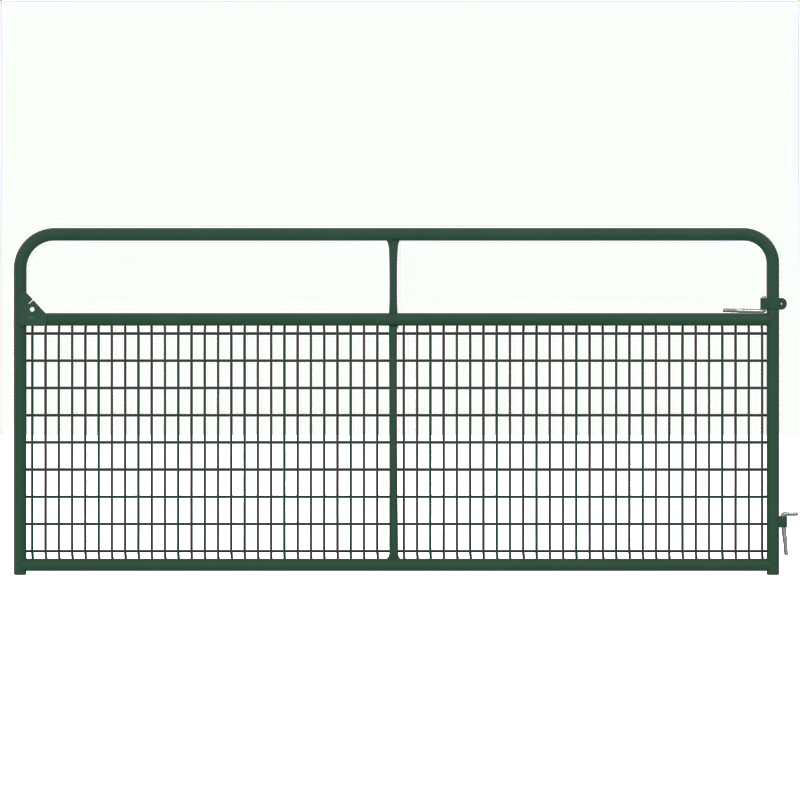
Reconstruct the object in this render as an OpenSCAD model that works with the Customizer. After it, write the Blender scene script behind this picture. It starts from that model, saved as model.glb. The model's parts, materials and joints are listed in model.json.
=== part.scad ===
/* [Gate frame] */
// Distance between the centre lines of the latch post and the hinge post
post_spacing = 2830; // [2000:10:3200]
// Height from the post ends to the top of the top rail
gate_h = 1300; // [1280:5:1360]
// Outer diameter of the posts and rails
tube_d = 44.45; // [42:0.05:46]
// Wall thickness of the posts and rails
tube_wall = 1.6; // [1.2:0.1:2.5]
// Bend radius of the frame tube's centre line at the latch post
latch_bend_r = 130; // [100:5:160]
// Bend radius of the frame tube's centre line at the hinge post
hinge_bend_r = 110; // [100:5:140]
// Height of the middle rail's centre line
mid_rail_z = 958; // [950:1:965]
// Height of the bottom rail's centre line
bottom_rail_z = 36; // [30:1:40]

/* [Braces] */
// Distance from the latch post's centre line to the braces
brace_from_latch = 1403; // [600:1:1700]
// Outer diameter of the brace tube
brace_d = 25.4; // [24:0.1:26]
// Wall thickness of the brace tube
brace_wall = 1.6; // [1.2:0.1:2.5]
// Width across the flattened end at the top rail
top_flat_w = 36; // [30:1:38]
// Length of the flattened end at the top rail
top_flat_len = 70; // [50:1:90]
// Width across the lightly flattened ends at the middle rail
mid_flat_w = 31; // [28:0.5:34]
// Length of the lightly flattened ends at the middle rail
mid_flat_len = 30; // [24:1:44]
// Width across the flattened end at the bottom rail
bottom_flat_w = 40; // [36:1:44]
// Length of the flattened end at the bottom rail
bottom_flat_len = 40; // [30:1:50]

/* [Mesh] */
// Diameter of the upright stay wires
stay_d = 7; // [5:0.1:7.5]
// Diameter of the level line wires
line_d = 8; // [5:0.1:8.5]
// Distance between stay wires
stay_pitch = 50; // [48:0.5:52]
// Distance from the latch post's centre line to the first stay wire
first_stay = 42.5; // [38:0.5:46]
// Distance between line wires
line_pitch = 102.6; // [98:0.1:104]
// Height of the lowest line wire
first_line_z = 84.8; // [80:0.1:90]
// Gap between the back of the braces and the stay wires
mesh_gap = 0.3; // [0.3:0.1:2]
// How far crossing wires are pressed into each other where they are welded
weld_sink = 0.3; // [0.1:0.1:0.5]

/* [Latch plate] */
// Thickness of the latch plate
plate_t = 4; // [3:0.5:5]
// Reach of the latch plate along the middle rail, from the post's centre line
plate_w = 101.5; // [90:0.5:110]
// Diameter of the chain hole
chain_hole_d = 20; // [16:1:22]
// Width of the chain slot
chain_slot_w = 6; // [5:0.5:8]
// Depth of the chain slot, in from the sloping edge
chain_slot_depth = 21; // [16:1:22]

/* [Hinges] */
// Width of the hinge straps
strap_w = 41; // [38:1:42]
// Thickness of the hinge straps
strap_t = 3.5; // [3:0.1:4]
// Inside diameter of the loops that hold the hooks
loop_d = 19; // [18.8:0.1:19.4]
// Radial clearance of the upper collar round its post
collar_gap = 0.4; // [0.3:0.1:1]
// Distance from the hinge post's centre line to the upper loop
upper_loop_reach = 32.5; // [32:0.1:34]
// Distance from the hinge post's centre line to the lower loop
lower_loop_reach = 39; // [38:0.5:42]
// Gap between the middle rail and the upper collar
collar_lift = 16; // [16:1:120]
// Height of the lower loop's middle
lower_loop_z = 197.5; // [190:0.5:260]
// How far the collar's ears reach from the hinge post's centre line
ear_reach = 50; // [48:1:54]
// Gap between the collar's two ears
ear_gap = 3; // [2:0.5:4]
// Diameter of the pinch bolt hole through the ears
ear_hole_d = 9; // [8:0.5:11]

/* [Bolt hooks] */
// Diameter of the hook bar
hook_d = 14.4; // [14:0.1:14.4]
// Length of the threaded leg, from the other leg's centre line
long_leg = 155; // [130:1:170]
// Diameter of the threaded end
thread_d = 12.7; // [11:0.1:13]
// Length of the threaded end
thread_len = 58; // [40:1:80]
// Length of the plain leg, from the other leg's centre line
short_leg = 56; // [54:1:58]
// Bend radius of the hook's centre line
hook_bend_r = 12; // [11:0.5:12]
// How far the upper hook's threaded leg slopes up from level
upper_hook_slope = 1.9; // [0:0.1:2]
// How far the lower hook's threaded leg leans out from upright
lower_hook_lean = 5.2; // [0:0.1:5.2]

/* [Hidden] */
$fn = 64;
tube_r = tube_d / 2;
top_rail_z = gate_h - tube_r;
inner_d = tube_d - 2 * tube_wall;
overrun = 1;
// How high the solid bars reach that shape the pieces welded to the posts
bar_top_z = mid_rail_z + 2 * tube_d;
// How far a brace end runs into a rail before it is coped, and the length cut from the rail
cope_depth = 4;
cope_len = 120;
// Height of the flat and of the round part that a brace end is formed between
flat_end_h = 6;
round_end_h = 0.5;

// The origin is midway along the overall length, level with the post ends.
lower_elbow_rise = 29.8;
hook_reach = lower_loop_reach + short_leg - lower_elbow_rise * tan(lower_hook_lean);
hinge_x = (post_spacing + tube_r - hook_reach) / 2;
latch_x = hinge_x - post_spacing;
brace_x = latch_x + brace_from_latch;

// Width, thickness and length of each kind of flattened brace end
top_flat = [top_flat_w, 7, top_flat_len];
mid_flat = [mid_flat_w, 15.6, mid_flat_len];
bottom_flat = [bottom_flat_w, 4, bottom_flat_len];

stay_y = brace_d / 2 + mesh_gap + stay_d / 2;
line_y = stay_y + (stay_d + line_d) / 2 - weld_sink;
edge_clearance = 30;
stay_count = floor((post_spacing - first_stay - edge_clearance) / stay_pitch) + 1;
stay_groups = 8;
stays_in_group = ceil(stay_count / stay_groups);

plate_slope = 47.3;
plate_bottom_z = mid_rail_z - 24;
plate_corner_z = mid_rail_z + 18;
plate_left = 2;
plate_top_x = 13;
chain_hole_pos = [49.7, mid_rail_z + 36.6];
chain_slot_x = 51.9;

loop_r = loop_d / 2;
loop_outer_r = loop_r + strap_t;
collar_r = tube_r + collar_gap;
collar_z = mid_rail_z + tube_r + collar_lift;
collar_mid_z = collar_z + strap_w / 2;
ear_corner_r = 18;
ear_overlap = 1.6;
ear_hole_x = 31.5;
upper_loop_x = hinge_x - upper_loop_reach;
lower_loop_x = hinge_x + lower_loop_reach;

hook_chamfer = 1.5;
// How far the legs are closed in from square. The sine is 0.07584 and the cosine 0.99712.
hook_close = atan2(237, 3116);
// The bend is made longer than it needs to be, and cut to length
bend_sweep = 120;
hook_tangent = hook_bend_r * tan((90 + hook_close) / 2);
rail_rest_gap = 0.4;
upper_elbow_z = mid_rail_z + tube_r + rail_rest_gap + hook_d / 2;
upper_pin_lean = hook_close - upper_hook_slope;
upper_elbow_x = upper_loop_x + (collar_mid_z - upper_elbow_z) * tan(upper_pin_lean);
lower_elbow_z = lower_loop_z + lower_elbow_rise;
lower_elbow_x = lower_loop_x - lower_elbow_rise * tan(lower_hook_lean);

gate_green = [0.19, 0.30, 0.235];
wire_green = [0.13, 0.21, 0.165];
strap_green = [0.22, 0.34, 0.27];
zinc = [0.74, 0.75, 0.76];

// A bar of diameter d along +X, starting at x.
module bar_x(x, z, d, len) {
    translate([x, 0, z]) rotate([0, 90, 0]) cylinder(d = d, h = len);
}

// A quarter bend in the gate's plane, from angle start to start + 90.
module quarter_bend(centre_x, bend_r, d, start) {
    translate([centre_x, 0, top_rail_z - bend_r]) rotate([90, 0, 0]) rotate([0, 0, start])
        rotate_extrude(angle = 90) translate([bend_r, 0]) circle(d = d);
}

// The run of the bent frame tube: up one post, along the top and down the other post.
module frame_run(d, start_z) {
    translate([latch_x, 0, start_z]) cylinder(d = d, h = top_rail_z - latch_bend_r - start_z);
    translate([hinge_x, 0, start_z]) cylinder(d = d, h = top_rail_z - hinge_bend_r - start_z);
    quarter_bend(latch_x + latch_bend_r, latch_bend_r, d, 90);
    quarter_bend(hinge_x - hinge_bend_r, hinge_bend_r, d, 0);
    bar_x(latch_x + latch_bend_r, top_rail_z, d, post_spacing - latch_bend_r - hinge_bend_r);
}

module outer_frame_tube() {
    color(gate_green) difference() {
        frame_run(tube_d, 0);
        frame_run(inner_d, -overrun);
    }
}

// Both posts as solid bars, to shape whatever is welded against them.
module post_bars() {
    for (x = [latch_x, hinge_x]) translate([x, 0, -overrun]) cylinder(d = tube_d, h = bar_top_z);
}

// A rail between the posts, with its ends coped to fit round them.
module rail(z) {
    color(gate_green) difference() {
        bar_x(latch_x, z, tube_d, post_spacing);
        bar_x(latch_x, z, inner_d, post_spacing);
        post_bars();
    }
}

module mid_rail() { rail(mid_rail_z); }

module bottom_rail() { rail(bottom_rail_z); }

// One end of a brace, going from round at the origin to flat at the top.
module flattened_end(flat_w, flat_t, len) {
    hull() {
        cylinder(d = brace_d, h = round_end_h, $fn = 32);
        translate([-flat_w / 2, -flat_t / 2, len - flat_end_h]) cube([flat_w, flat_t, flat_end_h]);
    }
}

// A brace between two rails, coped to them. low and high give the width, thickness and
// length of its two flattened ends.
module brace(low_rail_z, high_rail_z, low, high) {
    start_z = low_rail_z + tube_r - cope_depth;
    end_z = high_rail_z - tube_r + cope_depth;
    round_len = end_z - start_z - low[2] - high[2];
    color(gate_green) difference() {
        translate([brace_x, 0, start_z + low[2]]) union() {
            cylinder(d = brace_d, h = round_len);
            translate([0, 0, round_len]) flattened_end(high[0], high[1], high[2]);
            mirror([0, 0, 1]) flattened_end(low[0], low[1], low[2]);
        }
        translate([brace_x, 0, start_z + low[2]])
            cylinder(d = brace_d - 2 * brace_wall, h = round_len);
        bar_x(brace_x - cope_len / 2, low_rail_z, tube_d, cope_len);
        bar_x(brace_x - cope_len / 2, high_rail_z, tube_d, cope_len);
    }
}

module upper_brace() { brace(mid_rail_z, top_rail_z, mid_flat, top_flat); }

module lower_brace() { brace(bottom_rail_z, mid_rail_z, bottom_flat, mid_flat); }

// Level wire number i, counted from the bottom, lapped and coped on to both posts.
module line_wire(i) {
    z = first_line_z + (i - 1) * line_pitch;
    color(wire_green) difference() {
        translate([0, line_y, 0]) bar_x(latch_x, z, line_d, post_spacing);
        post_bars();
    }
}

// Group number g of the upright wires, each coped on to the shoulders of both rails.
module stay_wires(g) {
    first = (g - 1) * stays_in_group;
    last = min(stay_count, g * stays_in_group) - 1;
    color(wire_green) for (i = [first : last]) {
        x = latch_x + first_stay + i * stay_pitch;
        difference() {
            translate([x, stay_y, bottom_rail_z])
                cylinder(d = stay_d, h = mid_rail_z - bottom_rail_z);
            bar_x(x - stay_pitch / 2, bottom_rail_z, tube_d, stay_pitch);
            bar_x(x - stay_pitch / 2, mid_rail_z, tube_d, stay_pitch);
        }
    }
}

// Height of the plate's sloping edge at a distance x from the latch post's centre line.
function plate_edge_z(x) = plate_corner_z + (plate_w - x) * tan(plate_slope);

// The chain slot, square to the plate's sloping edge, with a round end.
module chain_slot() {
    run = chain_slot_depth - chain_slot_w / 2;
    translate([chain_slot_x, plate_edge_z(chain_slot_x)]) rotate(270 - plate_slope) {
        translate([-overrun, -chain_slot_w / 2]) square([run + overrun, chain_slot_w]);
        translate([run, 0]) circle(d = chain_slot_w);
    }
}

// The plate lies on the front of the post and the middle rail, where they meet.
module latch_plate() {
    color(gate_green) translate([latch_x, -tube_r, 0]) rotate([90, 0, 0])
        linear_extrude(height = plate_t) difference() {
            polygon([[plate_left, plate_bottom_z], [plate_w, plate_bottom_z],
                [plate_w, plate_corner_z], [plate_top_x, plate_edge_z(plate_top_x)],
                [plate_left, plate_edge_z(plate_top_x)]]);
            translate(chain_hole_pos) circle(d = chain_hole_d);
            chain_slot();
        }
}

// Plan of a strap loop, open towards +X, with the hook's pin at the origin.
module loop_plan(reach) {
    circle(r = loop_outer_r);
    translate([0, -loop_outer_r]) square([reach, 2 * loop_outer_r]);
}

// Plan of the space inside a strap loop.
module loop_space(reach) {
    circle(r = loop_r);
    translate([0, -loop_r]) square([reach, 2 * loop_r]);
}

// Outline of one ear: a strap end from x = start, with its two outer corners rounded.
module ear_outline(start) {
    intersection() {
        translate([start, 0]) square([ear_reach - start, strap_w]);
        union() {
            square([ear_reach - ear_corner_r, strap_w]);
            translate([0, ear_corner_r]) square([ear_reach, strap_w - 2 * ear_corner_r]);
            for (z = [ear_corner_r, strap_w - ear_corner_r])
                translate([ear_reach - ear_corner_r, z]) circle(r = ear_corner_r);
        }
    }
}

// One ear of the collar, with the hole for the pinch bolt.
module collar_ear(y) {
    translate([hinge_x, y + strap_t, collar_z]) rotate([90, 0, 0])
        linear_extrude(height = strap_t) difference() {
            ear_outline(collar_r + ear_overlap);
            translate([ear_hole_x, strap_w / 2]) circle(d = ear_hole_d);
        }
}

// A strap bent round the post, with a loop for the hook on one side and two ears on the other.
module upper_hinge_collar() {
    color(strap_green) {
        translate([hinge_x, 0, collar_z]) linear_extrude(height = strap_w) difference() {
            union() {
                circle(r = collar_r + strap_t);
                translate([-upper_loop_reach, 0]) loop_plan(upper_loop_reach);
            }
            circle(r = collar_r);
            translate([-upper_loop_reach, 0]) loop_space(upper_loop_reach);
            translate([0, -ear_gap / 2]) square([collar_r + 2 * strap_t, ear_gap]);
        }
        collar_ear(ear_gap / 2);
        collar_ear(-ear_gap / 2 - strap_t);
    }
}

// A strap loop welded to the outside of the hinge post.
module lower_hinge_loop() {
    color(strap_green) translate([lower_loop_x, 0, lower_loop_z - strap_w / 2])
        linear_extrude(height = strap_w) difference() {
            mirror([1, 0]) loop_plan(lower_loop_reach);
            mirror([1, 0]) loop_space(lower_loop_reach);
            translate([-lower_loop_reach, 0]) circle(d = tube_d);
        }
}

// A straight leg of a hook along +Z, ending in a chamfer.
module hook_leg(d, len) {
    cylinder(d = d, h = len - hook_chamfer);
    translate([0, 0, len - hook_chamfer])
        cylinder(d1 = d, d2 = d - 2 * hook_chamfer, h = hook_chamfer);
}

// A bent hook with its legs' centre lines meeting at the origin. The threaded leg runs
// along -X and the plain leg rises from it, leaning over it by hook_close.
module bolt_hook() {
    shank_len = long_leg - hook_tangent - thread_len;
    bend_span = hook_bend_r + hook_d;
    color(zinc) translate([-hook_tangent, 0, hook_bend_r]) {
        translate([0, 0, -hook_bend_r]) rotate([0, -90, 0]) {
            cylinder(d = hook_d, h = shank_len);
            translate([0, 0, shank_len]) hook_leg(thread_d, thread_len);
        }
        rotate([90, 0, 0]) rotate([0, 0, -90]) {
            difference() {
                rotate_extrude(angle = bend_sweep) translate([hook_bend_r, 0]) circle(d = hook_d);
                rotate([0, 0, 90 + hook_close]) translate([0, 0, -hook_d])
                    cube([bend_span, bend_span, 2 * hook_d]);
            }
            rotate([0, 0, 90 + hook_close]) translate([hook_bend_r, 0, 0])
                rotate([-90, 0, 0]) hook_leg(hook_d, short_leg - hook_tangent);
        }
    }
}

// The upper hook's plain leg stands in the collar's loop, and its threaded leg lies
// just above the middle rail.
module upper_bolt_hook() {
    translate([upper_elbow_x, 0, upper_elbow_z]) rotate([0, upper_hook_slope, 0]) bolt_hook();
}

// The lower hook hangs through its loop by the threaded leg.
module lower_bolt_hook() {
    translate([lower_elbow_x, 0, lower_elbow_z]) rotate([0, 90 - lower_hook_lean, 0])
        rotate([0, 0, 180]) bolt_hook();
}

outer_frame_tube();
mid_rail();
bottom_rail();
upper_brace();
lower_brace();
for (i = [1 : 9]) line_wire(i);
for (g = [1 : stay_groups]) stay_wires(g);
latch_plate();
upper_hinge_collar();
upper_bolt_hook();
lower_hinge_loop();
lower_bolt_hook();
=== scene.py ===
import json
import math
import random

import bmesh
import bpy
import numpy as np
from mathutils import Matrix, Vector


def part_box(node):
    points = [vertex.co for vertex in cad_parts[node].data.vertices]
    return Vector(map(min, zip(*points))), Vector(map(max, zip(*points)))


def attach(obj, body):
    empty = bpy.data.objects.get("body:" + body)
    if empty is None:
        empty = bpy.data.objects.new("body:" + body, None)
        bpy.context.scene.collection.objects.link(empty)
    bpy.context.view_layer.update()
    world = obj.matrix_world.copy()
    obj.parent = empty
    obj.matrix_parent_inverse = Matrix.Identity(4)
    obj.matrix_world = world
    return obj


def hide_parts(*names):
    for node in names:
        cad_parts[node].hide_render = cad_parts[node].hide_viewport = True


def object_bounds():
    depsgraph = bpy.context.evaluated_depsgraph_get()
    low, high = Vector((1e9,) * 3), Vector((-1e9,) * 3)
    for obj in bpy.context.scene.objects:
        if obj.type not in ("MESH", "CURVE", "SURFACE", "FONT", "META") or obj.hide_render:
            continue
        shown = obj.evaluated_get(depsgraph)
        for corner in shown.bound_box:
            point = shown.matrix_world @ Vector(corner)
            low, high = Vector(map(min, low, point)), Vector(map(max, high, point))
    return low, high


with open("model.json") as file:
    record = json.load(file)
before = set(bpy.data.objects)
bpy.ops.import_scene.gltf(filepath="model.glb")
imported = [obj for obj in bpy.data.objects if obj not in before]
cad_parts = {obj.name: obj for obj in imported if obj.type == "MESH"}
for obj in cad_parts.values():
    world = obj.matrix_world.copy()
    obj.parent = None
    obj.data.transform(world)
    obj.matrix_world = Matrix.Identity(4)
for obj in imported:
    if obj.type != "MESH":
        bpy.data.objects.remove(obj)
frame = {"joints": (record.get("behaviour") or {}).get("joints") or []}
cad_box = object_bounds()
random.seed(7)
MM = 0.001

# ---------------------------------------------------------------------------
# Measures, read from the CAD frame
# ---------------------------------------------------------------------------


def middle(node):
    lo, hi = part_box(node)
    return (lo + hi) / 2


def size(node):
    lo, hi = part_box(node)
    return hi - lo


tube_r = size("outer_frame_tube").y / 2
latch_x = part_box("outer_frame_tube")[0].x + tube_r
hinge_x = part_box("outer_frame_tube")[1].x - tube_r
top_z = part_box("outer_frame_tube")[1].z - tube_r
mid_z = middle("mid_rail").z
bottom_z = middle("bottom_rail").z
brace_x = middle("upper_brace").x
brace_r = size("upper_brace").y / 2
line_r = size("line_wire_1").z / 2
line_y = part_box("line_wire_1")[1].y - line_r
stay_r = size("stay_wires_1").y / 2
stay_y = middle("stay_wires_1").y
plate_lo, plate_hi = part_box("latch_plate")
collar_lo, collar_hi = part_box("upper_hinge_collar")
loop_lo, loop_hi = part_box("lower_hinge_loop")
joints = {j["name"]: j for j in frame["joints"]}
upper_pin = Vector(joints["upper_hook_swing"]["pos_m"])
lower_pin = Vector(joints["lower_hook_swing"]["pos_m"])

LINE_WIRES = 9
STAY_GROUPS = 8
STAYS_IN_GROUP = 7

TUBE_WALL = 1.6 * MM
TUBE_SIDES = 56
FOOT_ROUND = 4 * MM
BEND_STEPS = 25
BEND_FLATTENING = 0.022
LATCH_BEND_R = 130 * MM
HINGE_BEND_R = 110 * MM
STRAP_T = 3.5 * MM
LOOP_R = 9.5 * MM

# ---------------------------------------------------------------------------
# Mesh building
# ---------------------------------------------------------------------------


class Builder:
    """Collects closed shapes made of rings and blobs, and makes one mesh of them."""

    def __init__(self):
        self.verts = []
        self.faces = []
        self.count = 0

    def rings(self, rings, caps=True, loop=False):
        """Quads between rings of points; caps close the two ends, loop joins the last to the first."""
        rings = np.asarray(rings, float)
        n, m, _ = rings.shape
        base = self.count
        self.verts.append(rings.reshape(-1, 3))
        self.count += n * m
        k = np.arange(m)
        nxt = (k + 1) % m
        for i in range(n if loop else n - 1):
            a = base + i * m
            b = base + ((i + 1) % n) * m
            self.faces.extend(zip(a + k, a + nxt, b + nxt, b + k))
        if caps and not loop:
            self.faces.append(tuple(base + k[::-1]))
            self.faces.append(tuple(base + (n - 1) * m + k))

    def blob(self, centre, radii, lumpiness=0.12, rows=7, columns=10):
        """A squashed lumpy ball, such as a spot weld."""
        centre = np.asarray(centre, float)
        phase = [random.uniform(0, math.tau) for _ in range(3)]
        base = self.count
        pts = [centre + (0, 0, radii[2])]
        for i in range(1, rows):
            u = math.pi * i / rows
            for j in range(columns):
                v = math.tau * j / columns
                lump = 1 + lumpiness * (
                    math.sin(3 * v + phase[0]) * math.sin(2 * u + phase[1])
                    + 0.6 * math.sin(5 * v + phase[2])
                )
                d = np.array([math.sin(u) * math.cos(v), math.sin(u) * math.sin(v), math.cos(u)])
                pts.append(centre + d * radii * (lump if 1 < i < rows - 1 else 1))
        pts.append(centre - (0, 0, radii[2]))
        self.verts.append(np.array(pts))
        self.count += len(pts)
        last = base + len(pts) - 1
        for j in range(columns):
            k = (j + 1) % columns
            self.faces.append((base, base + 1 + j, base + 1 + k))
            for i in range(rows - 2):
                a = base + 1 + i * columns
                b = a + columns
                self.faces.append((a + j, b + j, b + k, a + k))
            a = base + 1 + (rows - 2) * columns
            self.faces.append((a + j, last, a + k))

    def make(self, name, sharp=math.radians(40)):
        mesh = bpy.data.meshes.new(name)
        mesh.from_pydata(np.vstack(self.verts).tolist(), [], [tuple(map(int, f)) for f in self.faces])
        mesh.validate()
        return link(name, mesh, sharp)


def link(name, mesh, sharp=math.radians(40)):
    """Links a mesh to the scene, with its normals outward and only its real corners sharp."""
    bm = bmesh.new()
    bm.from_mesh(mesh)
    bmesh.ops.recalc_face_normals(bm, faces=bm.faces)
    bm.to_mesh(mesh)
    bm.free()
    mesh.shade_smooth()
    mesh.set_sharp_from_angle(angle=sharp)
    obj = bpy.data.objects.new(name, mesh)
    bpy.context.scene.collection.objects.link(obj)
    return obj


def place(obj, body, material, slot, *nodes):
    """Gives a piece its material and its body, and hides the CAD nodes that it stands for."""
    obj.data.materials.clear()
    obj.data.materials.append(material)
    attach(obj, body)
    if nodes:
        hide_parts(*nodes)
    return obj


def tangents(points):
    d = np.gradient(np.asarray(points, float), axis=0)
    return d / np.linalg.norm(d, axis=1)[:, None]


def sweep(points, radius, sides=32, flat=None, across=(0, 1, 0)):
    """Rings of radius round a path. radius is a number or one per point; flat squeezes a ring in
    the path's own plane and widens it across that plane."""
    points = np.asarray(points, float)
    t = tangents(points)
    b = np.broadcast_to(np.asarray(across, float), t.shape)
    n = np.cross(b, t)
    n /= np.linalg.norm(n, axis=1)[:, None]
    b = np.cross(t, n)
    r = np.broadcast_to(np.asarray(radius, float), (len(points),))[:, None, None]
    f = np.zeros(len(points)) if flat is None else np.asarray(flat, float)
    f = f[:, None, None]
    a = np.linspace(0, math.tau, sides, endpoint=False)[None, :, None]
    return points[:, None, :] + r * (
        (1 - f) * np.cos(a) * n[:, None, :] + (1 + 0.5 * f) * np.sin(a) * b[:, None, :]
    )


def arc(centre, radius, start, end, steps):
    """Points on an arc in the gate's plane, with angles in degrees from +X towards +Z."""
    return [
        Vector((centre[0] + radius * math.cos(a), 0, centre[1] + radius * math.sin(a)))
        for a in np.radians(np.linspace(start, end, steps))
    ]


def straight(start, end, steps, ends=True):
    """Evenly spaced points on a line, with or without its two end points."""
    pts = [Vector(start).lerp(Vector(end), i / (steps - 1)) for i in range(steps)]
    return pts if ends else pts[1:-1]


def smooth(x):
    """0 to 1 with level ends."""
    x = min(max(x, 0.0), 1.0)
    return x * x * (3 - 2 * x)


# ---------------------------------------------------------------------------
# Materials
# ---------------------------------------------------------------------------


class Shader:
    """A small helper for writing node materials."""

    def __init__(self, name):
        self.material = bpy.data.materials.new(name)
        self.material.use_nodes = True
        self.tree = self.material.node_tree
        self.bsdf = self.tree.nodes["Principled BSDF"]
        self.coords = self.tree.nodes.new("ShaderNodeTexCoord").outputs["Object"]

    def node(self, kind, **values):
        """A node with its properties and its unlinked inputs set by name."""
        n = self.tree.nodes.new("ShaderNode" + kind)
        for key, value in values.items():
            if key in n.inputs:
                n.inputs[key].default_value = value
            else:
                setattr(n, key, value)
        return n

    def link(self, a, b):
        self.tree.links.new(a, b)

    def mapped(self, scale):
        m = self.node("Mapping")
        m.inputs["Scale"].default_value = scale
        self.link(self.coords, m.inputs["Vector"])
        return m.outputs["Vector"]

    def noise(self, scale, detail=3.0, roughness=0.5, stretch=None):
        n = self.node("TexNoise", Scale=scale, Detail=detail, Roughness=roughness)
        self.link(self.mapped(stretch) if stretch else self.coords, n.inputs["Vector"])
        return n.outputs["Fac"]

    def ramp(self, value, *stops):
        """A colour ramp with (place, grey or colour) stops."""
        r = self.node("ValToRGB")
        e = r.color_ramp.elements
        while len(e) < len(stops):
            e.new(0.5)
        for element, (place, colour) in zip(e, stops):
            element.position = place
            c = (colour,) * 3 if isinstance(colour, (int, float)) else colour
            element.color = (*c, 1)
        self.link(value, r.inputs["Fac"])
        return r.outputs["Color"]

    def mix(self, fac, a, b, blend="MIX"):
        m = self.node("Mix", data_type="RGBA", blend_type=blend)
        for socket, value in ((m.inputs[0], fac), (m.inputs[6], a), (m.inputs[7], b)):
            if isinstance(value, bpy.types.NodeSocket):
                self.link(value, socket)
            elif isinstance(value, (int, float)):
                socket.default_value = value
            else:
                socket.default_value = (*value, 1)
        return m.outputs[2]

    def math(self, operation, a, b):
        m = self.node("Math", operation=operation)
        for socket, value in zip(m.inputs, (a, b)):
            if isinstance(value, bpy.types.NodeSocket):
                self.link(value, socket)
            else:
                socket.default_value = value
        return m.outputs[0]

    def bump(self, height, strength, distance, after=None):
        b = self.node("Bump", Strength=strength, Distance=distance)
        self.link(height, b.inputs["Height"])
        if after:
            self.link(after, b.inputs["Normal"])
        return b.outputs["Normal"]

    def set(self, **values):
        """Sets inputs of the Principled shader, with _ for a space in their names."""
        for key, value in values.items():
            socket = self.bsdf.inputs[key.replace("_", " ")]
            if isinstance(value, bpy.types.NodeSocket):
                self.link(value, socket)
            else:
                socket.default_value = value


def painted_steel(name, colour, dark, light, roughness=0.42):
    """Dark green enamel on steel: cloudy colour, orange peel, dust and a few pale scuffs."""
    s = Shader(name)
    cloud = s.noise(5.0, 4.0, 0.6)
    base = s.mix(s.ramp(cloud, (0.35, 0.0), (0.65, 1.0)), dark, colour)
    speck = s.noise(420.0, 2.0, 0.6)
    base = s.mix(s.ramp(speck, (0.58, 0.0), (0.72, 0.45)), base, light)
    scuff = s.noise(60.0, 6.0, 0.7, stretch=(1.0, 1.0, 0.25))
    base = s.mix(s.ramp(scuff, (0.66, 0.0), (0.74, 0.5)), base, light)
    peel = s.noise(260.0, 2.0, 0.5)
    rough = s.ramp(s.noise(34.0, 4.0, 0.6), (0.3, roughness - 0.07), (0.7, roughness + 0.1))
    normal = s.bump(peel, 0.25, 0.0006)
    normal = s.bump(s.noise(28.0, 3.0, 0.5), 0.15, 0.0012, after=normal)
    s.set(Base_Color=base, Roughness=rough, Normal=normal)
    s.set(Metallic=0.0, IOR=1.5, Specular_IOR_Level=0.1)
    return s.material


def zinc_plate(name):
    """Bright zinc plating on a drawn bar: streaks along it and dull grey patches."""
    s = Shader(name)
    patch = s.noise(60.0, 5.0, 0.65)
    streak = s.noise(150.0, 4.0, 0.6, stretch=(0.3, 1.0, 0.6))
    base = s.mix(s.ramp(patch, (0.38, 0.0), (0.58, 1.0)), (0.79, 0.795, 0.80), (0.87, 0.875, 0.88))
    base = s.mix(s.ramp(streak, (0.58, 0.0), (0.70, 0.30)), base, (0.66, 0.665, 0.67))
    rough = s.ramp(patch, (0.3, 0.52), (0.7, 0.42))
    normal = s.bump(s.noise(500.0, 3.0, 0.6), 0.2, 0.0003)
    normal = s.bump(streak, 0.15, 0.0004, after=normal)
    s.set(Base_Color=base, Roughness=rough, Normal=normal, Metallic=0.5)
    return s.material


tube_paint = painted_steel(
    "tube_paint", (0.0165, 0.060, 0.0300), (0.0135, 0.052, 0.0255), (0.027, 0.080, 0.044)
)
plate_paint = painted_steel(
    "plate_paint", (0.0165, 0.062, 0.0305), (0.0135, 0.054, 0.026), (0.028, 0.083, 0.046)
)
strap_paint = painted_steel(
    "strap_paint", (0.0160, 0.059, 0.0300), (0.0115, 0.044, 0.022), (0.030, 0.082, 0.047), 0.48
)
wire_paint = painted_steel(
    "wire_paint", (0.0135, 0.041, 0.0220), (0.0105, 0.033, 0.0175), (0.023, 0.058, 0.034)
)
weld_paint = painted_steel(
    "weld_paint", (0.0170, 0.062, 0.0310), (0.0120, 0.046, 0.022), (0.028, 0.083, 0.046), 0.36
)
# Lighter, glossier green for the plug weld: a painted highlight, the light caught on its face put into its
# colour
plug_painted_highlight = painted_steel(
    "plug_painted_highlight", (0.040, 0.118, 0.068), (0.026, 0.082, 0.045), (0.055, 0.140, 0.085), 0.30
)
zinc = zinc_plate("zinc")

# ---------------------------------------------------------------------------
# Frame tubes
# ---------------------------------------------------------------------------


def frame_path():
    """Centre line of the bent tube, from the latch post's foot round to the hinge post's foot."""
    left = (latch_x + LATCH_BEND_R, top_z - LATCH_BEND_R)
    right = (hinge_x - HINGE_BEND_R, top_z - HINGE_BEND_R)
    foot = [0, 0.1 * FOOT_ROUND, 0.25 * FOOT_ROUND, 0.45 * FOOT_ROUND, 0.7 * FOOT_ROUND]
    up = [Vector((latch_x, 0, z)) for z in foot]
    up += straight((latch_x, 0, FOOT_ROUND), (latch_x, 0, left[1]), 14)[:-1]
    bend_in = arc(left, LATCH_BEND_R, 180, 90, BEND_STEPS)
    along = straight((left[0], 0, top_z), (right[0], 0, top_z), 30, ends=False)
    bend_out = arc(right, HINGE_BEND_R, 90, 0, BEND_STEPS)
    down = straight((hinge_x, 0, right[1]), (hinge_x, 0, FOOT_ROUND), 14)[1:]
    down += [Vector((hinge_x, 0, z)) for z in reversed(foot)]
    bent = [BEND_FLATTENING * math.sin(math.pi * i / (BEND_STEPS - 1)) for i in range(BEND_STEPS)]
    flat = [0.0] * len(up) + bent + [0.0] * len(along) + bent + [0.0] * len(down)
    return up + bend_in + along + bend_out + down, flat


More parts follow.
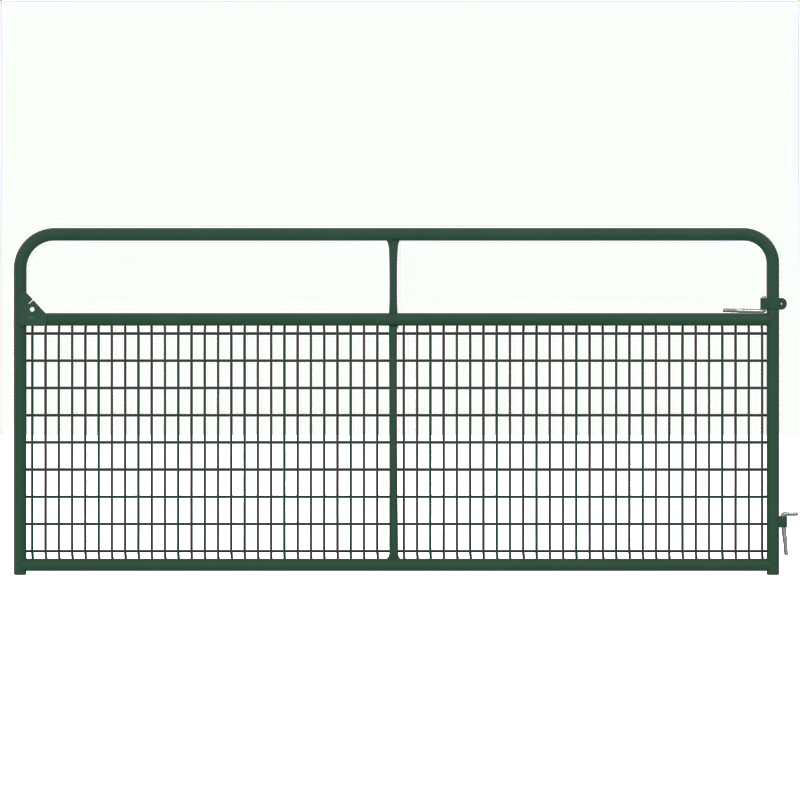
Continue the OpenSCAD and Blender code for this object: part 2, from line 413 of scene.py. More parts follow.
def foot_curl(z):
    """How far the tube's skin turns in at height z above its foot."""
    rise = max(FOOT_ROUND - z, 0)
    return FOOT_ROUND - math.sqrt(FOOT_ROUND**2 - rise**2)


def outer_frame():
    """The bent tube, hollow, its feet open and turned in a little at the rim."""
    path, flat = frame_path()
    skin = np.array([tube_r - foot_curl(p.z) for p in path])
    b = Builder()
    outer = sweep(path, skin, TUBE_SIDES, flat)
    inner = sweep(path, skin - TUBE_WALL, TUBE_SIDES, flat)
    b.rings(np.concatenate([outer, inner[::-1]]), loop=True)
    place(b.make("outer_frame"), "root", tube_paint, "painted_tube", "outer_frame_tube")


def rail(name, node, z):
    """A straight rail with both ends coped to the posts."""
    b = Builder()
    xs = np.linspace(latch_x, hinge_x, 40)

    def skin(r):
        rings = sweep([(x, 0, z) for x in xs], r, TUBE_SIDES)
        for ring, post, way in ((rings[0], latch_x, 1), (rings[-1], hinge_x, -1)):
            reach = np.sqrt(np.maximum(tube_r**2 - ring[:, 1] ** 2, 0))
            ring[:, 0] = post + way * (reach - 0.2 * MM)
        return rings

    b.rings(np.concatenate([skin(tube_r), skin(tube_r - TUBE_WALL)[::-1]]), loop=True)
    place(b.make(name), "root", tube_paint, "painted_tube", node)


BRACE_WALLS = 3.8 * MM
BRACE_SINK = 1.5 * MM
# Distances in mm from either end at which a brace has a ring, close together where it is pressed
BRACE_STATIONS = (
    0, 1, 2, 3.5, 5, 7, 9, 11.5, 14, 17, 20, 22, 24,
    26, 28, 31, 35, 40, 46, 54, 64, 78, 95, 115, 140,
)
LONG_BRACE = 400 * MM
PLAIN_FROM = 160 * MM
TOP_FLARE = (((4.3, 45), (7.5, 12)), ((4.3, 45), (6.5, 12)))
MID_LOW_FLARE = (((2.6, 25),), ((2.6, 25),))
MID_HIGH_FLARE = (((1.7, 120),), ((1.7, 120), (9.5, 6)))
BOTTOM_FLARE = (((12.0, 17),), ((3.6, 40), (6.5, 4)))
LOW_X = 3 * MM
HIGH_X = -1.4 * MM


def flare(d, terms):
    """How far a brace spreads to one side at distance d from a rail, from (extra, reach) pairs."""
    return sum(extra * MM * math.exp(-d / (reach * MM)) for extra, reach in terms)


def brace_section(left_w, right_w, dent, sides=48):
    """A tube's outline once pressed to a width either side, keeping its girth, with hollowed
    faces."""
    half_w = (left_w + right_w) / 2
    half_t = (math.pi * brace_r - 2 * half_w) / (math.pi - 2)
    half_t = max(half_t, BRACE_WALLS / 2)
    flat = min(max((half_w / brace_r - 1) / 0.45, 0), 1)
    pts = []
    for i in range(sides):
        a = math.tau * i / sides
        c, s = math.cos(a), math.sin(a)
        x = (right_w if c > 0 else left_w) * math.copysign(abs(c) ** (1 - 0.12 * flat), c)
        y = half_t * math.copysign(abs(s) ** (1 - 0.45 * flat), s)
        hollow = (0.30 * flat * (1 - 0.6 * flat) + dent) * math.exp(-((2.4 * x / half_w) ** 2))
        pts.append((x, y * (1 - hollow)))
    return pts


def brace(name, node, low_z, high_z, low_terms, high_terms, low_x=0.0, high_x=0.0, dent_at=None):
    """A brace with its two ends pressed, one wide and one barely. low_x and high_x put its ends
    a little to one side, and dent_at marks the press's edge across the upper end."""
    b = Builder()
    z0 = low_z + tube_r - BRACE_SINK
    z1 = high_z - tube_r + BRACE_SINK
    near = [d * MM for d in BRACE_STATIONS if d * MM < (z1 - z0) / 2]
    marks = [z0 + d for d in near] + [z1 - d for d in near]
    if z1 - z0 > LONG_BRACE:
        marks += list(np.linspace(z0 + PLAIN_FROM, z1 - PLAIN_FROM, 12))
    rings = []
    for z in sorted(marks):
        low, high = max(z - low_z - tube_r, 0), max(high_z - tube_r - z, 0)
        left_w, right_w = (brace_r + flare(low, a) + flare(high, b) for a, b in zip(low_terms, high_terms))
        dent = 0.0 if dent_at is None else 0.22 * math.exp(-(((high - dent_at) / (2.2 * MM)) ** 2))
        k = (z - z0) / (z1 - z0)
        x0 = brace_x + low_x * (1 - smooth(1.3 * k)) + high_x * smooth(1.3 * k - 0.3)
        rings.append([(x0 + x, y, z) for x, y in brace_section(left_w, right_w, dent)])
    b.rings(rings)
    place(b.make(name), "root", tube_paint, "painted_tube", node)


# ---------------------------------------------------------------------------
# Weld beads
# ---------------------------------------------------------------------------


def bead(b, path, outward, radius, ripple=2.4 * MM, sides=10, taper=True):
    """A weld bead along a path: a half-sunk rope with the ripples that a weld leaves."""
    path = np.asarray(path, float)
    outward = np.asarray(outward, float)
    seg = np.linalg.norm(np.diff(path, axis=0), axis=1)
    run = np.concatenate([[0], np.cumsum(seg)])
    steps = max(int(run[-1] / (ripple / 5)), 8)
    s = np.linspace(0, run[-1], steps)
    pts = np.stack([np.interp(s, run, path[:, k]) for k in range(3)], 1)
    out = np.stack([np.interp(s, run, outward[:, k]) for k in range(3)], 1)
    out /= np.linalg.norm(out, axis=1)[:, None]
    t = tangents(pts)
    side = np.cross(t, out)
    side /= np.linalg.norm(side, axis=1)[:, None]
    wobble = random.uniform(0, 9)
    wave = np.abs(np.sin(math.pi * s / ripple + 0.35 * np.sin(s / ripple + wobble)))
    r = radius * (0.9 + 0.14 * wave + 0.06 * np.sin(s / (3.1 * ripple) + wobble))
    if taper:
        ends = np.minimum(s, run[-1] - s) / (1.2 * radius)
        r = r * np.sqrt(np.clip(ends, 0.02, 1))
    a = np.linspace(0, math.tau, sides, endpoint=False)
    rings = pts[:, None, :] + r[:, None, None] * (
        np.cos(a)[None, :, None] * side[:, None, :] * 1.1 + np.sin(a)[None, :, None] * out[:, None, :] * 0.85
    )
    b.rings(rings)


def rail_weld(b, post, way, z):
    """The bead round a rail where it is coped to a post, front and back separately."""
    for face in (1, -1):
        path, out = [], []
        for k in range(49):
            a = math.radians(3 + 174 * k / 48)
            y, c = face * tube_r * math.sin(a), math.cos(a)
            path.append((post + way * tube_r * abs(c), y, z + tube_r * c))
            n_post = np.array([way * abs(c), face * math.sin(a), 0])
            n_rail = np.array([0, face * math.sin(a), c])
            out.append(n_post + n_rail)
        bead(b, path, out, 1.8 * MM)


def frame_welds():
    b = Builder()
    for z in (mid_z, bottom_z):
        rail_weld(b, latch_x, 1, z)
        rail_weld(b, hinge_x, -1, z)
    place(b.make("rail_welds"), "root", tube_paint, "painted_tube")


def brace_weld(b, z, way, half_w, half_t, x0=0.0, radius=2.6 * MM):
    """A bead round a brace end on its rail; way points along the brace."""
    path, out = [], []
    for k in range(61):
        a = math.tau * k / 60
        c, s = math.cos(a), math.sin(a)
        x = half_w * math.copysign(abs(c) ** 0.8, c)
        y = half_t * math.copysign(abs(s) ** 0.6, s)
        drop = tube_r - math.sqrt(tube_r**2 - y**2)
        path.append((brace_x + x0 + x, y, z + way * (0.4 * MM - drop)))
        out.append((0.8 * c, 0.8 * s, way))
    bead(b, path, out, radius)


def brace_welds():
    b = Builder()
    brace_weld(b, top_z - tube_r, -1, 23.0 * MM, 2.4 * MM, radius=2.0 * MM)
    brace_weld(b, mid_z + tube_r, 1, 14.8 * MM, 9.5 * MM, radius=1.6 * MM)
    brace_weld(b, mid_z - tube_r, -1, 16.0 * MM, 9.0 * MM, HIGH_X + 2 * MM, radius=1.8 * MM)
    brace_weld(b, bottom_z + tube_r, 1, 22.5 * MM, 2.4 * MM, LOW_X - 1.5 * MM, radius=2.0 * MM)
    place(b.make("brace_welds"), "root", weld_paint, "painted_tube")


# ---------------------------------------------------------------------------
# Mesh panel
# ---------------------------------------------------------------------------


WIRE_SINK = 1.5 * MM
# The least and most, in mm, that a stay's foot and head are pushed sideways
STAY_FOOT_PUSH = (1.0, 3.2)
STAY_HEAD_PUSH = (-1.2, 1.6)
# Half sizes in mm of the weld at each end of a stay
STAY_END_WELD = (5.2, 4.4, 4.2)
# Reach in mm from the post, and side in wire radii, of the two welds at each end of a line wire
LINE_END_WELDS = ((9, 0.8), (8, -0.8))


def stay_positions():
    """x of every stay wire, by group, from the CAD groups' boxes."""
    groups = []
    for g in range(1, STAY_GROUPS + 1):
        lo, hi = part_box(f"stay_wires_{g}")
        groups.append(np.linspace(lo.x + stay_r, hi.x - stay_r, STAYS_IN_GROUP))
    return groups


def line_heights():
    return [middle(f"line_wire_{i}").z for i in range(1, LINE_WIRES + 1)]


def stay_wire(b, x, heights):
    """An upright wire, slightly wavy, with its ends pushed sideways where it was fitted in.
    Returns its two end points."""
    z0 = bottom_z + math.sqrt(tube_r**2 - stay_y**2) - WIRE_SINK
    z1 = mid_z - math.sqrt(tube_r**2 - stay_y**2) + WIRE_SINK
    foot = random.uniform(*STAY_FOOT_PUSH) * MM
    head = random.uniform(*STAY_HEAD_PUSH) * MM
    zs = sorted(
        [z0, z0 + 7 * MM, z0 + 14 * MM, z1 - 7 * MM, z1]
        + list(heights)
        + [h + (heights[1] - heights[0]) / 2 for h in heights[:-1]]
    )
    pts = []
    for z in zs:
        low = smooth((heights[0] - z) / (heights[0] - z0))
        high = smooth((z - heights[-1]) / (z1 - heights[-1]))
        sway = random.uniform(-0.12, 0.12) * MM
        pts.append((x + foot * low + head * high + sway, stay_y + random.uniform(-0.1, 0.1) * MM, z))
    b.rings(sweep(pts, stay_r, 14))
    return pts[0], pts[-1]


def mesh_panel():
    heights = line_heights()
    welds = Builder()
    for g, xs in enumerate(stay_positions(), 1):
        b = Builder()
        for x in xs:
            low, high = stay_wire(b, x, heights)
            for p, way in ((low, 1), (high, -1)):
                at = (p[0], p[1] + 1.2 * MM, p[2] + way * 2.2 * MM)
                welds.blob(at, np.array(STAY_END_WELD) * MM)
            for z in heights:
                y = stay_y + stay_r
                welds.blob((x, y, z), np.array((stay_r * 1.12, 1.9 * MM, line_r * 1.02)), 0.05, 5, 8)
        place(b.make(f"stays_{g}"), "root", wire_paint, "painted_stay_wire", f"stay_wires_{g}")
    for i, z in enumerate(heights, 1):
        b = Builder()
        xs = np.linspace(latch_x - 1 * MM, hinge_x + 1 * MM, 60)
        path = [
            (x, line_y + random.uniform(-0.08, 0.08) * MM, z + random.uniform(-0.1, 0.1) * MM)
            for x in xs
        ]
        b.rings(sweep(path, line_r, 16))
        for post, way in ((latch_x, 1), (hinge_x, -1)):
            for reach, side in LINE_END_WELDS:
                at = (post + way * reach * MM, line_y - 2.5 * MM, z + line_r * side)
                welds.blob(at, np.array((reach, 3.4, 3.4)) * MM)
        place(b.make(f"line_{i}"), "root", wire_paint, "painted_line_wire", f"line_wire_{i}")
    place(welds.make("mesh_welds"), "root", wire_paint, "painted_line_wire")


# ---------------------------------------------------------------------------
# Latch plate
# ---------------------------------------------------------------------------

PLATE_SLOPE = math.radians(47.3)
PLATE_TOP_X = 13 * MM
PLATE_CORNER_UP = 18 * MM
CHAIN_HOLE = (49.7 * MM, 36.6 * MM, 10 * MM)
CHAIN_SLOT_X = 51.9 * MM
CHAIN_SLOT_W = 6 * MM
CHAIN_SLOT_DEPTH = 21 * MM
# Where the two welds down the plate's post edge start and end, in mm above its foot
EDGE_WELDS = ((14, 46), (92, 124))
# The plug weld: its place from the latch post and the middle rail, half length and rows
PLUG_AT = (44 * MM, 4.5 * MM)
PLUG_HALF = 14 * MM
PLUG_ROWS = (-3.2, 0, 3.2)


def plate_edge_z(x):
    """Height of the plate's sloping edge above the middle rail, at x from the latch post."""
    return PLATE_CORNER_UP + (plate_hi.x - latch_x - x) * math.tan(PLATE_SLOPE)


def plate_outline():
    """The plate's outline with the chain slot cut into its sloping edge, going anticlockwise."""
    left, right = plate_lo.x - latch_x, plate_hi.x - latch_x
    low = plate_lo.z - mid_z
    inward = Vector((-math.sin(PLATE_SLOPE), -math.cos(PLATE_SLOPE)))
    along = Vector((-math.cos(PLATE_SLOPE), math.sin(PLATE_SLOPE)))
    mouth = Vector((CHAIN_SLOT_X, plate_edge_z(CHAIN_SLOT_X)))
    half = CHAIN_SLOT_W / 2
    bottom = mouth + inward * (CHAIN_SLOT_DEPTH - half)
    slot = [mouth - along * (half + 0.8 * MM), mouth - along * half + inward * 0.8 * MM]
    slot += [
        bottom - along * half * math.cos(a) + inward * half * math.sin(a)
        for a in np.linspace(0, math.pi, 17)
    ]
    slot += [mouth + along * half + inward * 0.8 * MM, mouth + along * (half + 0.8 * MM)]
    top = plate_edge_z(PLATE_TOP_X)
    pts = [(left, low), (right - 2 * MM, low), (right, low + 2 * MM), (right, PLATE_CORNER_UP)]
    return pts + [tuple(p) for p in slot] + [(PLATE_TOP_X, top), (left, top)]


def latch_plate():
    """The corner plate as a filled curve with rounded edges, turned into a mesh."""
    thick = plate_hi.y - plate_lo.y
    edge = 0.7 * MM
    curve = bpy.data.curves.new("latch_plate_outline", "CURVE")
    curve.dimensions = "2D"
    curve.fill_mode = "BOTH"
    curve.extrude = thick / 2 - edge
    curve.bevel_depth = edge
    curve.bevel_resolution = 2
    curve.offset = -edge
    x, z, r = CHAIN_HOLE
    hole = [(x + r * math.cos(a), z + r * math.sin(a)) for a in np.linspace(0, math.tau, 49)[:-1]]
    for outline in (plate_outline(), hole):
        spline = curve.splines.new("POLY")
        spline.points.add(len(outline) - 1)
        for point, (px, pz) in zip(spline.points, outline):
            point.co = (px, pz, 0, 1)
        spline.use_cyclic_u = True
    shape = bpy.data.objects.new("latch_plate_curve", curve)
    bpy.context.scene.collection.objects.link(shape)
    dg = bpy.context.evaluated_depsgraph_get()
    mesh = bpy.data.meshes.new_from_object(shape.evaluated_get(dg))
    bpy.data.objects.remove(shape)
    y = (plate_lo.y + plate_hi.y) / 2
    for v in mesh.vertices:
        v.co = (latch_x + v.co.x, y - v.co.z, mid_z + v.co.y)
    mesh.name = "latch_plate"
    place(link("corner_plate", mesh, math.radians(35)), "root", plate_paint, "painted_plate", "latch_plate")


def plate_welds():
    """Beads along the plate's edges, and the plug weld through its face to the rail, its lighter green a
    painted highlight.
    """
    b = Builder()
    front = -tube_r - 0.4 * MM
    for low, high in EDGE_WELDS:
        z0, z1 = plate_lo.z + low * MM, plate_lo.z + high * MM
        path = straight((plate_lo.x, front, z0), (plate_lo.x, front, z1), 12)
        bead(b, path, [(-0.7, -1, 0)] * 12, 1.8 * MM)
    path, out = [], []
    for k in range(25):
        dz = (-18 + 36 * k / 24) * MM
        y = -math.sqrt(tube_r**2 - dz**2)
        path.append((plate_hi.x, (y + plate_lo.y) / 2 + 1.0 * MM, mid_z + dz))
        out.append((1, -0.5, 0))
    bead(b, path, out, 3.4 * MM)
    place(b.make("plate_welds"), "root", weld_paint, "painted_plate")
    plug = Builder()
    plug_x, plug_z = latch_x + PLUG_AT[0], mid_z + PLUG_AT[1]
    for row in PLUG_ROWS:
        y, z = plate_lo.y + 1.4 * MM, plug_z + row * MM
        path = straight((plug_x - PLUG_HALF, y, z), (plug_x + PLUG_HALF, y, z), 12)
        bead(plug, path, [(0, -1, 0)] * 12, 2.6 * MM)
    # The plug weld's lighter green is a painted highlight
    place(plug.make("plug_weld"), "root", plug_painted_highlight, "painted_plate")


# ---------------------------------------------------------------------------
# Hinge straps
# ---------------------------------------------------------------------------


def soften(points, corners, spread):
    """Rounds a densely sampled path near its corners, over about spread either side."""
    pts = np.asarray(points, float)
    for _ in range(60):
        mid = pts.copy()
        mid[1:-1] = (pts[:-2] + 2 * pts[1:-1] + pts[2:]) / 4
        near = np.zeros(len(pts))
        for c in corners:
            near = np.maximum(near, np.exp(-((np.linalg.norm(pts - c, axis=1) / spread) ** 2)))
        near[[0, -1]] = 0
        pts = pts + (mid - pts) * near[:, None]
    return pts


def resample(points, step):
    pts = np.asarray(points, float)
    run = np.concatenate([[0], np.cumsum(np.linalg.norm(np.diff(pts, axis=0), axis=1))])
    s = np.linspace(0, run[-1], max(int(run[-1] / step), 2))
    return np.stack([np.interp(s, run, pts[:, k]) for k in range(pts.shape[1])], 1)


def strap(b, plan, z0, z1, end_corner=0.0, thick=STRAP_T, edge=0.8 * MM):
    """A strap on edge along a plan path, its long edges rounded. end_corner rounds the corners
    of its two ends."""
    plan = np.asarray(plan, float)
    t = tangents(plan)
    n = np.stack([-t[:, 1], t[:, 0]], 1)
    run = np.concatenate([[0], np.cumsum(np.linalg.norm(np.diff(plan, axis=0), axis=1))])
    half, mid = (z1 - z0) / 2, (z0 + z1) / 2
    rings = []
    for p, normal, s in zip(plan, n, run):
        d = min(s, run[-1] - s)
        cut = 0.0
        if end_corner and d < end_corner:
            cut = end_corner - math.sqrt(max(end_corner**2 - (end_corner - d) ** 2, 0))
        h = half - cut
        ring = []
        for cx, cz, a0 in ((1, 1, 0), (-1, 1, 90), (-1, -1, 180), (1, -1, 270)):
            for a in np.radians(np.linspace(a0, a0 + 90, 4)):
                u = cx * (thick / 2 - edge) + edge * math.cos(a)
                w = cz * (h - edge) + edge * math.sin(a)
                ring.append((p[0] + normal[0] * u, p[1] + normal[1] * u, mid + w))
        rings.append(ring)
    b.rings(rings)


def drill(obj, centre, radius, depth):
    """Cuts a round hole along Y through a piece."""
    tool = Builder()
    tool.rings([
        [
            (centre[0] + radius * math.cos(a), centre[1] + y, centre[2] + radius * math.sin(a))
            for a in np.linspace(0, math.tau, 49)[:-1]
        ]
        for y in (-depth, depth)
    ])
    cutter = tool.make("cutter")
    mod = obj.modifiers.new("hole", "BOOLEAN")
    mod.operation, mod.object, mod.solver = "DIFFERENCE", cutter, "EXACT"
    dg = bpy.context.evaluated_depsgraph_get()
    mesh = bpy.data.meshes.new_from_object(obj.evaluated_get(dg))
    obj.modifiers.clear()
    obj.data = mesh
    mesh.shade_smooth()
    mesh.set_sharp_from_angle(angle=math.radians(40))
    bpy.data.objects.remove(cutter)


def loop_arc(centre, radius, start, end, step=6):
    """Points on an arc in plan, with angles in degrees from +X towards +Y."""
    step = math.copysign(step, end - start)
    return [
        (centre[0] + radius * math.cos(a), centre[1] + radius * math.sin(a))
        for a in map(math.radians, np.arange(start, end + step / 2, step))
    ]


EAR_GAP = 3 * MM
EAR_CORNER = 18 * MM
EAR_HOLE = (31.5 * MM, 4.5 * MM)
COLLAR_GAP = 0.4 * MM


def upper_collar():
    """One strap from ear to ear: round the post, out round the pin and back."""
    band = tube_r + COLLAR_GAP + STRAP_T / 2
    loop = LOOP_R + STRAP_T / 2
    pin_x = upper_pin.x - hinge_x
    ear_y = EAR_GAP / 2 + STRAP_T / 2
    ear_a = math.degrees(math.asin(ear_y / band))
    neck_a = 180 - math.degrees(math.asin(loop / band))
    reach = collar_hi.x - hinge_x
    half = [(reach, ear_y), (reach - 10 * MM, ear_y)]
    half += loop_arc((0, 0), band, ear_a, neck_a)
    half += [(-math.cos(math.radians(180 - neck_a)) * band, loop), (pin_x, loop)]
    half += loop_arc((pin_x, 0), loop, 90, 180)
    plan = resample(half + [(x, -y) for x, y in half[::-1][1:]], 0.9 * MM)
    corners = [(band * math.cos(math.radians(ear_a)), s * ear_y) for s in (1, -1)]
    corners += [(-band * math.cos(math.radians(180 - neck_a)), s * loop) for s in (1, -1)]
    plan = soften(plan, corners, 3.2 * MM)
    plan[:, 0] += hinge_x
    b = Builder()
    strap(b, plan, collar_lo.z, collar_hi.z, EAR_CORNER)
    obj = b.make("upper_collar_strap")
    z = (collar_lo.z + collar_hi.z) / 2
    drill(obj, (hinge_x + EAR_HOLE[0], 0, z), EAR_HOLE[1], 12 * MM)
    place(obj, "upper_collar", strap_paint, "painted_strap", "upper_hinge_collar")


def lower_loop():
    """A strap bent round the lower pin and welded to the post by its two edges."""
    loop = LOOP_R + STRAP_T / 2
    foot = math.sqrt(tube_r**2 - loop**2) - 0.8 * MM
    pin = lower_pin.x - hinge_x
    half = [(foot, loop), (pin, loop)] + loop_arc((pin, 0), loop, 90, 0)
    plan = resample(half + [(x, -y) for x, y in half[::-1][1:]], 0.9 * MM)
    plan[:, 0] += hinge_x
    b = Builder()
    strap(b, plan, loop_lo.z, loop_hi.z)
    place(b.make("lower_loop_strap"), "root", strap_paint, "painted_strap", "lower_hinge_loop")
    w = Builder()
    for s in (1, -1):
        y = s * (LOOP_R + STRAP_T)
        x = hinge_x + math.sqrt(tube_r**2 - y**2)
        path = straight((x, y, loop_lo.z + 1 * MM), (x, y, loop_hi.z - 1 * MM), 12)
        bead(w, path, [(0.75, s, 0)] * 12, 2.8 * MM)
    place(w.make("lower_loop_welds"), "root", weld_paint, "painted_strap")


# ---------------------------------------------------------------------------
# Bolt hooks
# ---------------------------------------------------------------------------

HOOK_R = 7.2 * MM
THREAD_R = 6.35 * MM
HOOK_BEND_R = 12 * MM
LONG_LEG = 155 * MM
SHORT_LEG = 56 * MM
THREADED_END = 58 * MM
THREAD_LEN = 46 * MM
THREAD_PITCH = 1.95 * MM
THREAD_DEPTH = 1.0 * MM
HOOK_CLOSE = math.atan2(237, 3116)
# (distance along the bar, radius) in mm: the rounded tip, the step down and the groove by the thread
TIP_ROUND = ((0, 5.4), (0.3, 6.2), (1.0, 6.9), (1.8, 7.2))
NECK_STEP = ((-0.6, 7.05), (0, 6.7), (0.6, 6.35))
THREAD_GROOVE = ((-2.0, 6.1), (-1.4, 5.5), (-0.6, 5.45), (0, 5.9))


def hook_profile():
    """Stations along the hook from its plain tip to its threaded tip: (point, radius, thread)."""
    turn = math.pi / 2 + HOOK_CLOSE
    tangent = HOOK_BEND_R * math.tan(turn / 2)
    short = Vector((-math.sin(HOOK_CLOSE), 0, math.cos(HOOK_CLOSE)))
    out = []
    for d, r in TIP_ROUND:
        out.append((short * (SHORT_LEG - d * MM), r * MM, 0))
    for d in np.linspace(SHORT_LEG - 6 * MM, tangent + 2 * MM, 8):
        out.append((short * d, HOOK_R, 0))
    centre = Vector((-tangent, 0, HOOK_BEND_R))
    for a in np.linspace(HOOK_CLOSE, -math.pi / 2, 22):
        p = centre + Vector((math.cos(a), 0, math.sin(a))) * HOOK_BEND_R
        out.append((p, HOOK_R, 0))
    neck = LONG_LEG - THREADED_END
    for d in np.linspace(tangent + 2 * MM, neck - 1.2 * MM, 14):
        out.append((Vector((-d, 0, 0)), HOOK_R, 0))
    for d, r in NECK_STEP:
        out.append((Vector((-(neck + d * MM), 0, 0)), r * MM, 0))
    start = LONG_LEG - THREAD_LEN
    for d in np.linspace(neck + 1.2 * MM, start - 2.4 * MM, 5):
        out.append((Vector((-d, 0, 0)), THREAD_R, 0))
    for d, r in THREAD_GROOVE:
        out.append((Vector((-(start + d * MM), 0, 0)), r * MM, 0))
    steps = int(THREAD_LEN / (THREAD_PITCH / 9))
    for k in range(1, steps):
        d = start + THREAD_LEN * k / steps
        left = LONG_LEG - d
        r = THREAD_R - max(0, 1.4 * MM - left) * 0.8
        out.append((Vector((-d, 0, 0)), r, min(1, (d - start) / (2 * MM)) * min(1, left / (0.6 * MM))))
    out.append((Vector((-LONG_LEG, 0, 0)), THREAD_R - 1.5 * MM, 0))
    return out


def bolt_hook(name, body, elbow, turn, flip, node):
    """A bent bar with a helical thread on its long leg. turn is its tilt about Y in degrees, and
    flip turns it round first, as the lower one hangs."""
    stations = hook_profile()
    sides = 40
    rings = sweep([s[0] for s in stations], [s[1] for s in stations], sides)
    for i, (p, r, thread) in enumerate(stations):
        if thread:
            for k in range(sides):
                phase = (-p.x / THREAD_PITCH + k / sides) % 1
                wave = min(abs(phase - 0.5) * 2.6, 1)
                dip = thread * THREAD_DEPTH * (1 - wave)
                rings[i, k] += (np.array(p) - rings[i, k]) / r * dip
    pts = rings.reshape(-1, 3)
    if flip:
        pts = pts * (-1, -1, 1)
    a = math.radians(turn)
    x, y, z = pts[:, 0].copy(), pts[:, 1], pts[:, 2].copy()
    pts = np.stack([x * math.cos(a) + z * math.sin(a), y, z * math.cos(a) - x * math.sin(a)], 1)
    b = Builder()
    b.rings((pts + np.array(elbow)).reshape(rings.shape))
    place(b.make(name, math.radians(60)), body, zinc, "zinc_hook", node)


UPPER_SLOPE = 1.9
LOWER_LEAN = 5.2
RAIL_REST_GAP = 0.4 * MM
LOWER_ELBOW_UP = 29.8 * MM


def hooks():
    z = mid_z + tube_r + RAIL_REST_GAP + HOOK_R
    lean = HOOK_CLOSE - math.radians(UPPER_SLOPE)
    upper = (upper_pin.x + (upper_pin.z - z) * math.tan(lean), 0, z)
    bolt_hook("upper_hook_bar", "upper_hook", upper, UPPER_SLOPE, False, "upper_bolt_hook")
    shift = LOWER_ELBOW_UP * math.tan(math.radians(LOWER_LEAN))
    lower = (lower_pin.x - shift, 0, lower_pin.z + LOWER_ELBOW_UP)
    bolt_hook("lower_hook_bar", "lower_hook", lower, 90 - LOWER_LEAN, True, "lower_bolt_hook")


# ---------------------------------------------------------------------------
# Stage
# ---------------------------------------------------------------------------


def surround(scene):
    """A white surround to the camera. The gate is lit evenly by it, and mirrors a dim room that
    is brightest overhead."""
    world = bpy.data.worlds.new("studio")
    scene.world = world
    world.use_nodes = True
    tree = world.node_tree
    nodes, links = tree.nodes, tree.links
    nodes.clear()

    def sky(strength):
        n = nodes.new("ShaderNodeBackground")
        n.inputs["Color"].default_value = (1, 1, 1, 1)
        n.inputs["Strength"].default_value = strength
        return n

    seen, even, mirrored = sky(SEEN_WHITE), sky(EVEN_LIGHT), sky(MIRRORED_LIGHT)
    coords = nodes.new("ShaderNodeTexCoord")
    toward = nodes.new("ShaderNodeVectorMath")
    toward.operation = "DOT_PRODUCT"
    toward.inputs[1].default_value = Vector(BRIGHT_SIDE).normalized()
    ramp = nodes.new("ShaderNodeValToRGB")
    spread = nodes.new("ShaderNodeMapRange")
    spread.inputs["From Min"].default_value = -1.0
    links.new(coords.outputs["Generated"], toward.inputs[0])
    links.new(toward.outputs["Value"], spread.inputs["Value"])
    links.new(spread.outputs[0], ramp.inputs["Fac"])
    elements = ramp.color_ramp.elements
    while len(elements) < len(ROOM_TONES):
        elements.new(0.5)
    for element, (at, grey) in zip(elements, ROOM_TONES):
        element.position = at
        element.color = (grey, grey, grey, 1)
    links.new(ramp.outputs["Color"], mirrored.inputs["Color"])
    path = nodes.new("ShaderNodeLightPath")
    out = nodes.new("ShaderNodeOutputWorld")
    glossy, camera_ray = nodes.new("ShaderNodeMixShader"), nodes.new("ShaderNodeMixShader")
    links.new(path.outputs["Is Glossy Ray"], glossy.inputs[0])
    links.new(even.outputs[0], glossy.inputs[1])
    links.new(mirrored.outputs[0], glossy.inputs[2])
    links.new(path.outputs["Is Camera Ray"], camera_ray.inputs[0])
    links.new(glossy.outputs[0], camera_ray.inputs[1])
    links.new(seen.outputs[0], camera_ray.inputs[2])
    links.new(camera_ray.outputs[0], out.inputs["Surface"])


FLOOR_REACH = 30.0
FLOOR_DROP = 0.5 * MM
SEEN_WHITE = 1.0
EVEN_LIGHT = 1.0
MIRRORED_LIGHT = 1.1
BRIGHT_SIDE = (-0.45, -0.3, 0.85)
# Greys of the mirrored room, from the side away from BRIGHT_SIDE to the one towards it
ROOM_TONES = ((0.0, 0.16), (0.36, 0.14), (0.56, 0.72), (0.74, 1.0))
PRINT_CURVE = ((0.0, 0.0), (0.10, 0.10), (0.30, 0.14), (0.65, 0.24), (0.90, 0.50), (1.0, 1.0))


def print_curve(view):
    """A hard tone curve, as of a picture printed with blown-out white: it holds the darks and
    deepens the half-covered edges."""
    view.use_curve_mapping = True
    mapping = view.curve_mapping
    points = mapping.curves[3].points
    for x, y in PRINT_CURVE[1:-1]:
        points.new(x, y)
    mapping.update()


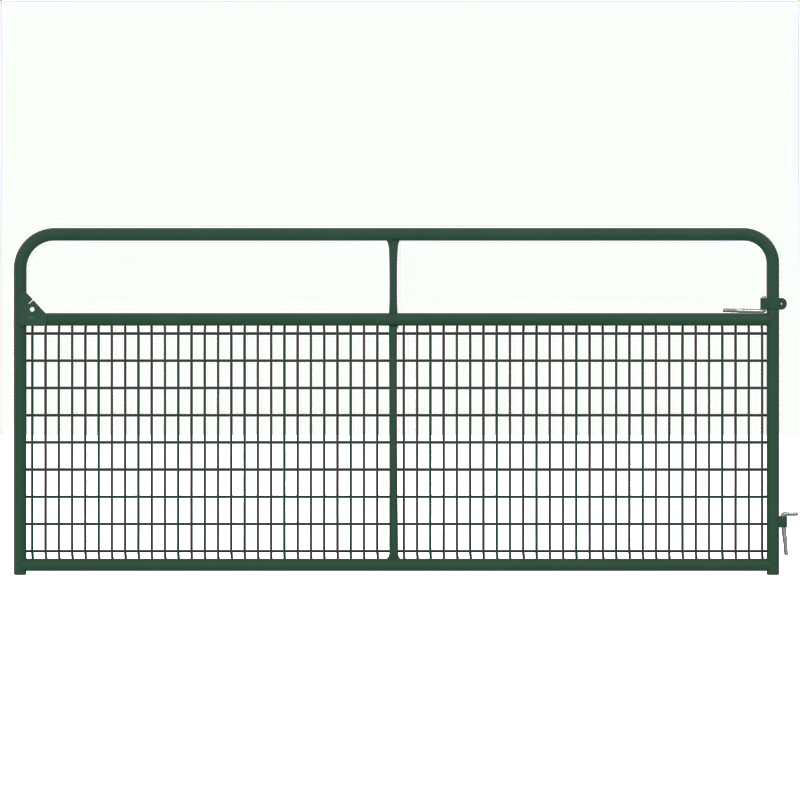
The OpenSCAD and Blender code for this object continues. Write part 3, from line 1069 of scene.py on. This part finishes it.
def studio():
    """A pale floor, a white surround and soft lights."""
    scene = bpy.context.scene
    scene.view_settings.view_transform = "Standard"
    scene.view_settings.look = "None"
    print_curve(scene.view_settings)
    scene.cycles.filter_width = 1.0
    surround(scene)

    mesh = bpy.data.meshes.new("floor")
    s, z = FLOOR_REACH, -FLOOR_DROP
    mesh.from_pydata([(-s, -s, z), (s, -s, z), (s, s, z), (-s, s, z)], [], [(0, 1, 2, 3)])
    floor = bpy.data.objects.new("floor", mesh)
    scene.collection.objects.link(floor)
    shader = Shader("floor")
    grain = shader.noise(3.0, 3.0)
    shader.set(
        Base_Color=shader.ramp(grain, (0.3, 0.58), (0.7, 0.62)),
        Roughness=0.9,
        Specular_IOR_Level=0.0,
        Emission_Color=(1, 1, 1, 1),
        Emission_Strength=0.7,
    )
    mesh.materials.append(shader.material)
    floor.visible_diffuse = False
    floor.visible_glossy = False

    def area(name, place, aim, size, power):
        data = bpy.data.lights.new(name, "AREA")
        data.shape, data.size, data.size_y, data.energy = "RECTANGLE", size[0], size[1], power
        lamp = bpy.data.objects.new(name, data)
        lamp.location = place
        lamp.rotation_euler = (Vector(aim) - Vector(place)).to_track_quat("-Z", "Y").to_euler()
        scene.collection.objects.link(lamp)

    area("key", (2.5, -5.0, 4.2), (0, 0, 0.7), (4.0, 2.0), 70)
    area("fill", (-3.5, -5.5, 2.2), (0, 0, 0.7), (3.0, 3.0), 25)


CAMERA_DISTANCE = 7.5
VIEW_WIDTH = 1.0215
AIM_SIDE = -22 * MM
AIM_UP = 5 * MM


def camera():
    """Square on to the front of the gate, at its middle height."""
    lo, hi = cad_box
    data = bpy.data.cameras.new("camera")
    cam = bpy.data.objects.new("camera", data)
    aim = Vector(((lo.x + hi.x) / 2 + AIM_SIDE, 0, (lo.z + hi.z) / 2 + AIM_UP))
    cam.location = aim - Vector((0, CAMERA_DISTANCE, 0))
    cam.rotation_euler = (math.pi / 2, 0, 0)
    data.lens = data.sensor_width * CAMERA_DISTANCE / ((hi.x - lo.x) * VIEW_WIDTH)
    bpy.context.scene.collection.objects.link(cam)
    bpy.context.scene.camera = cam


camera()
studio()
outer_frame()
rail("middle_rail", "mid_rail", mid_z)
rail("lower_rail", "bottom_rail", bottom_z)
brace("top_brace", "upper_brace", mid_z, top_z, MID_LOW_FLARE, TOP_FLARE, dent_at=24 * MM)
brace("mesh_brace", "lower_brace", bottom_z, mid_z, BOTTOM_FLARE, MID_HIGH_FLARE, LOW_X, HIGH_X)
frame_welds()
brace_welds()
mesh_panel()
latch_plate()
plate_welds()
upper_collar()
lower_loop()
hooks()
